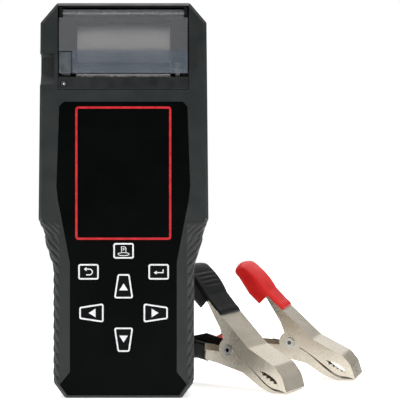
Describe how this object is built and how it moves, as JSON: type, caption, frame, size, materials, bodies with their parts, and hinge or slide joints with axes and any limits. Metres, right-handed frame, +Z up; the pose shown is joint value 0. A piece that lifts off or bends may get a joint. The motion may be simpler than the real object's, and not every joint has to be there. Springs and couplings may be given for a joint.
{
  "type": "battery tester",
  "caption": "Hand-held car battery tester with a display, arrow keys and a built-in receipt printer, standing on its end beside its black and red battery clamps.",
  "frame": {"origin": "centre of the tester's flat bottom end, which it stands on", "axes": "+X to the right seen from the front, +Y to the back, +Z up along the tester"},
  "size_m": [0.2092, 0.1269, 0.2415],
  "materials": {
    "case_charcoal": "fine matte grain",
    "grip_rubber": "ribbed, matt",
    "overlay_black": "glossy printed overlay",
    "key_black": "glossy with white legends",
    "display_dark": "dark display",
    "smoke_plastic": "smoke, see-through",
    "black_plastic": "satin moulded",
    "paper": "smooth thermal paper",
    "core_card": "plain",
    "circuit_green": "solder mask",
    "steel": "brushed",
    "clamp_nickel": "nickel plated",
    "motor_metal": "drawn can",
    "platen_rubber": "ground",
    "gear_white": "moulded acetal",
    "ceramic": "plain",
    "lamp_clear": "clear lens",
    "grip_black": "satin vinyl",
    "grip_red": "glossy vinyl",
    "connector_black": "moulded"
  },
  "bodies": {
    "tester": {"front_case": "case_charcoal", "back_case": "case_charcoal", "case_screws": "steel", "left_grip": "grip_rubber", "right_grip": "grip_rubber", "front_overlay": "overlay_black", "lcd_module": "display_dark", "key_switches": "black_plastic", "main_pcb": "circuit_green", "pcb_screws": "steel", "buzzer": "black_plastic", "load_resistor": "ceramic", "lead_socket": "connector_black", "printer_frame": "black_plastic", "cover_pin": "steel", "idler_axle": "steel", "stepper_motor": "motor_metal", "print_head": "ceramic", "paper_strip": "paper", "printer_bar": "black_plastic", "feed_lamp": "lamp_clear", "tear_bar": "steel", "latch_pin": "steel"},
    "print_key": {"print_key": "key_black"},
    "back_key": {"back_key": "key_black"},
    "enter_key": {"enter_key": "key_black"},
    "up_key": {"up_key": "key_black"},
    "down_key": {"down_key": "key_black"},
    "left_key": {"left_key": "key_black"},
    "right_key": {"right_key": "key_black"},
    "printer_cover": {"printer_cover": "smoke_plastic"},
    "platen": {"platen_roller": "platen_rubber", "platen_shaft": "steel", "platen_gear": "gear_white"},
    "idler_gear": {"idler_gear": "gear_white"},
    "motor_pinion": {"motor_pinion": "gear_white"},
    "paper_roll": {"paper_roll": "paper", "paper_core": "core_card"},
    "latch_lever": {"latch_lever": "black_plastic"},
    "black_clamp": {"black_lower_jaw": "clamp_nickel", "black_lower_grip": "grip_black", "black_rivet": "steel", "black_spring": "steel"},
    "black_clamp_upper": {"black_upper_jaw": "clamp_nickel", "black_upper_grip": "grip_black"},
    "red_clamp": {"red_lower_jaw": "clamp_nickel", "red_lower_grip": "grip_red", "red_rivet": "steel", "red_spring": "steel"},
    "red_clamp_upper": {"red_upper_jaw": "clamp_nickel", "red_upper_grip": "grip_red"}
  },
  "joints": [
    {"name": "print_key_press", "type": "slide", "parent": "tester", "child": "print_key", "axis": [0, 1, 0], "range_m": [0, 0.0005], "stiffness_N_per_m": 1500},
    {"name": "back_key_press", "type": "slide", "parent": "tester", "child": "back_key", "axis": [0, 1, 0], "range_m": [0, 0.0005], "stiffness_N_per_m": 1500},
    {"name": "enter_key_press", "type": "slide", "parent": "tester", "child": "enter_key", "axis": [0, 1, 0], "range_m": [0, 0.0005], "stiffness_N_per_m": 1500},
    {"name": "up_key_press", "type": "slide", "parent": "tester", "child": "up_key", "axis": [0, 1, 0], "range_m": [0, 0.0005], "stiffness_N_per_m": 1500},
    {"name": "down_key_press", "type": "slide", "parent": "tester", "child": "down_key", "axis": [0, 1, 0], "range_m": [0, 0.0005], "stiffness_N_per_m": 1500},
    {"name": "left_key_press", "type": "slide", "parent": "tester", "child": "left_key", "axis": [0, 1, 0], "range_m": [0, 0.0005], "stiffness_N_per_m": 1500},
    {"name": "right_key_press", "type": "slide", "parent": "tester", "child": "right_key", "axis": [0, 1, 0], "range_m": [0, 0.0005], "stiffness_N_per_m": 1500},
    {"name": "cover_hinge", "type": "hinge", "parent": "tester", "child": "printer_cover", "pos_m": [0, -0.0134, 0.2354], "axis": [-1, 0, 0], "range_deg": [0, 100]},
    {"name": "platen_spin", "type": "hinge", "parent": "printer_cover", "child": "platen", "pos_m": [0, -0.0095, 0.2015], "axis": [1, 0, 0], "continuous": true},
    {"name": "idler_spin", "type": "hinge", "parent": "tester", "child": "idler_gear", "pos_m": [0.0318, -0.00229, 0.19645], "axis": [1, 0, 0], "continuous": true},
    {"name": "motor_spin", "type": "hinge", "parent": "tester", "child": "motor_pinion", "pos_m": [0.0318, 0.0046, 0.19324], "axis": [1, 0, 0], "continuous": true},
    {"name": "roll_spin", "type": "hinge", "parent": "tester", "child": "paper_roll", "pos_m": [0, 0.00201, 0.21649], "axis": [1, 0, 0], "continuous": true},
    {"name": "latch_tilt", "type": "hinge", "parent": "tester", "child": "latch_lever", "pos_m": [-0.0392, -0.0115, 0.1986], "axis": [1, 0, 0], "range_deg": [0, 25], "stiffness_Nm_per_rad": 0.05},
    {"name": "black_clamp_lift", "type": "slide", "parent": "tester", "child": "black_clamp", "axis": [0, 0, 1], "range_m": [0, 0.03]},
    {"name": "black_clamp_squeeze", "type": "hinge", "parent": "black_clamp", "child": "black_clamp_upper", "pos_m": [0.0712, 0.0298, 0.0259], "axis": [-0.6401, -0.7631, -0.089], "range_deg": [0, 30], "stiffness_Nm_per_rad": 0.8, "deforming": ["black_spring"]},
    {"name": "red_clamp_lift", "type": "slide", "parent": "tester", "child": "red_clamp", "axis": [0, 0, 1], "range_m": [0, 0.03]},
    {"name": "red_clamp_squeeze", "type": "hinge", "parent": "red_clamp", "child": "red_clamp_upper", "pos_m": [0.1112, 0.0808, 0.0256], "axis": [-0.367, -0.924, -0.107], "range_deg": [0, 30], "stiffness_Nm_per_rad": 0.8, "deforming": ["red_spring"]}
  ],
  "couplings": [
    {"joint": "idler_spin", "follows": "platen_spin", "ratio": -0.69231},
    {"joint": "motor_spin", "follows": "platen_spin", "ratio": 1.5},
    {"joint": "roll_spin", "follows": "platen_spin", "ratio": -0.25}
  ]
}
